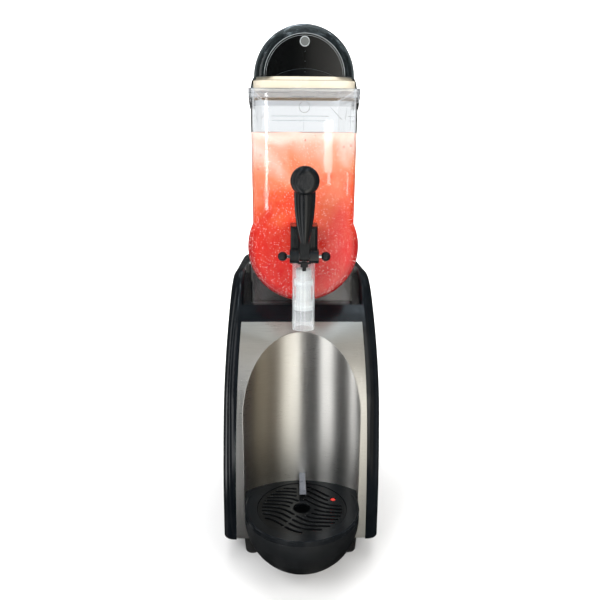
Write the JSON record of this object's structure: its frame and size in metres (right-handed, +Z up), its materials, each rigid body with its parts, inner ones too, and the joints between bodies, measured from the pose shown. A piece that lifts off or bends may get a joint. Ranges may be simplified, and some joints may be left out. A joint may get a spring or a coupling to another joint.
{
  "type": "slush machine",
  "caption": "Single-bowl slush machine with clear bowl, lever tap, smoked dome lid, arched steel cup recess and round drip tray.",
  "frame": {"origin": "centre of the bottom of the bounding box, on the table under the feet", "axes": "+Z up, the tap and the drip tray face -Y, +X to the right when looking at the tap"},
  "size_m": [0.255, 0.5, 0.826],
  "materials": {
    "steel_sheet": "plain bent steel sheet, lightly rolled",
    "brushed_steel": "fine brushed stainless sheet",
    "gloss_black": "high-gloss moulded black plastic",
    "satin_black": "satin moulded black plastic",
    "rubber_black": "soft black rubber",
    "clear_bowl": "clear moulded polycarbonate, polished",
    "slush_red": "wet red slush, pale and foamy at the top",
    "white_plastic": "white moulded plastic",
    "cream_plastic": "cream moulded plastic, slightly glossy",
    "smoked_clear": "smoked clear polycarbonate, polished",
    "dark_insert": "dark brown-black display plate",
    "milky_clear": "milky translucent plastic",
    "red_plastic": "red float, glossy",
    "grey_plastic": "grey moulded plastic",
    "chrome_pin": "polished",
    "cast_housing": "painted cast housing",
    "painted_can": "black enamel over deep-drawn steel",
    "fin_aluminium": "bare thin fins",
    "copper_tube": "drawn copper tube",
    "board_green": "circuit board with relays"
  },
  "bodies": {
    "cabinet": {"base_pan": "steel_sheet", "left_frame": "steel_sheet", "right_frame": "steel_sheet", "motor_bracket": "steel_sheet", "fan_shroud": "steel_sheet", "front_panel": "brushed_steel", "cup_recess": "brushed_steel", "bulkhead": "brushed_steel", "evaporator_drum": "brushed_steel", "tap_spring": "brushed_steel", "left_side_panel": "gloss_black", "right_side_panel": "gloss_black", "upper_housing": "satin_black", "motor_cover": "satin_black", "rear_panel": "satin_black", "tap_bracket": "satin_black", "pin_balls": "satin_black", "hardness_switch": "satin_black", "switch_frames": "satin_black", "power_inlet": "satin_black", "front_bush": "satin_black", "feet": "rubber_black", "compressor_mounts": "rubber_black", "bowl_seal": "rubber_black", "shaft_seal": "rubber_black", "bowl": "clear_bowl", "valve_tube": "clear_bowl", "slush_fill": "slush_red", "drain_spout": "grey_plastic", "tap_pin": "chrome_pin", "panel_screws": "chrome_pin", "gearbox": "cast_housing", "gear_motor": "cast_housing", "fan_motor": "cast_housing", "compressor": "painted_can", "condenser": "fin_aluminium", "refrigerant_pipes": "copper_tube", "capillary_tube": "copper_tube", "filter_drier": "copper_tube", "control_board": "board_green"},
    "tap_lever": {"tap_lever": "satin_black"},
    "tap_piston": {"tap_piston": "white_plastic", "piston_rings": "rubber_black"},
    "auger": {"auger": "white_plastic", "drive_shaft": "brushed_steel"},
    "fan": {"fan_blade": "satin_black", "fan_shaft": "brushed_steel"},
    "tray": {"drip_tray": "satin_black", "drip_grate": "satin_black"},
    "float": {"float_indicator": "red_plastic"},
    "lid": {"lid_base": "cream_plastic", "dome_cover": "smoked_clear", "display_insert": "dark_insert", "dome_boss": "milky_clear", "lid_light": "white_plastic"},
    "power_key": {"power_key": "satin_black"},
    "mixer_key": {"mixer_key": "satin_black"},
    "light_key": {"light_key": "satin_black"},
    "hardness_knob": {"hardness_knob": "satin_black"}
  },
  "joints": [
    {"name": "tap_lever_pull", "type": "hinge", "parent": "cabinet", "child": "tap_lever", "pos_m": [0, -0.186, 0.526], "axis": [1, 0, 0], "range_deg": [0, 60]},
    {"name": "tap_piston_lift", "type": "slide", "parent": "cabinet", "child": "tap_piston", "axis": [0, 0, 1], "range_m": [0, 0.02], "stiffness_N_per_m": 150, "springref_m": -0.02, "deforming": ["tap_spring"]},
    {"name": "auger_turn", "type": "hinge", "parent": "cabinet", "child": "auger", "pos_m": [0, 0, 0.529], "axis": [0, 1, 0], "continuous": true},
    {"name": "fan_spin", "type": "hinge", "parent": "cabinet", "child": "fan", "pos_m": [0, 0, 0.18], "axis": [0, 1, 0], "continuous": true},
    {"name": "drip_tray_slide", "type": "slide", "parent": "cabinet", "child": "tray", "axis": [0, -1, 0], "range_m": [0, 0.12]},
    {"name": "float_rise", "type": "slide", "parent": "tray", "child": "float", "axis": [0, 0, 1], "range_m": [0, 0.008]},
    {"name": "lid_lift", "type": "slide", "parent": "cabinet", "child": "lid", "axis": [0, 0, 1], "range_m": [0, 0.12]},
    {"name": "power_key_tilt", "type": "hinge", "parent": "cabinet", "child": "power_key", "pos_m": [-0.03, 0.234, 0.56], "axis": [1, 0, 0], "range_deg": [0, 16]},
    {"name": "mixer_key_tilt", "type": "hinge", "parent": "cabinet", "child": "mixer_key", "pos_m": [0, 0.234, 0.56], "axis": [1, 0, 0], "range_deg": [0, 16]},
    {"name": "light_key_tilt", "type": "hinge", "parent": "cabinet", "child": "light_key", "pos_m": [0.03, 0.234, 0.56], "axis": [1, 0, 0], "range_deg": [0, 16]},
    {"name": "hardness_turn", "type": "hinge", "parent": "cabinet", "child": "hardness_knob", "pos_m": [0, 0, 0.524], "axis": [0, -1, 0], "range_deg": [0, 270]}
  ],
  "couplings": [
    {"joint": "tap_piston_lift", "follows": "tap_lever_pull", "m_per_rad": 0.019099}
  ]
}
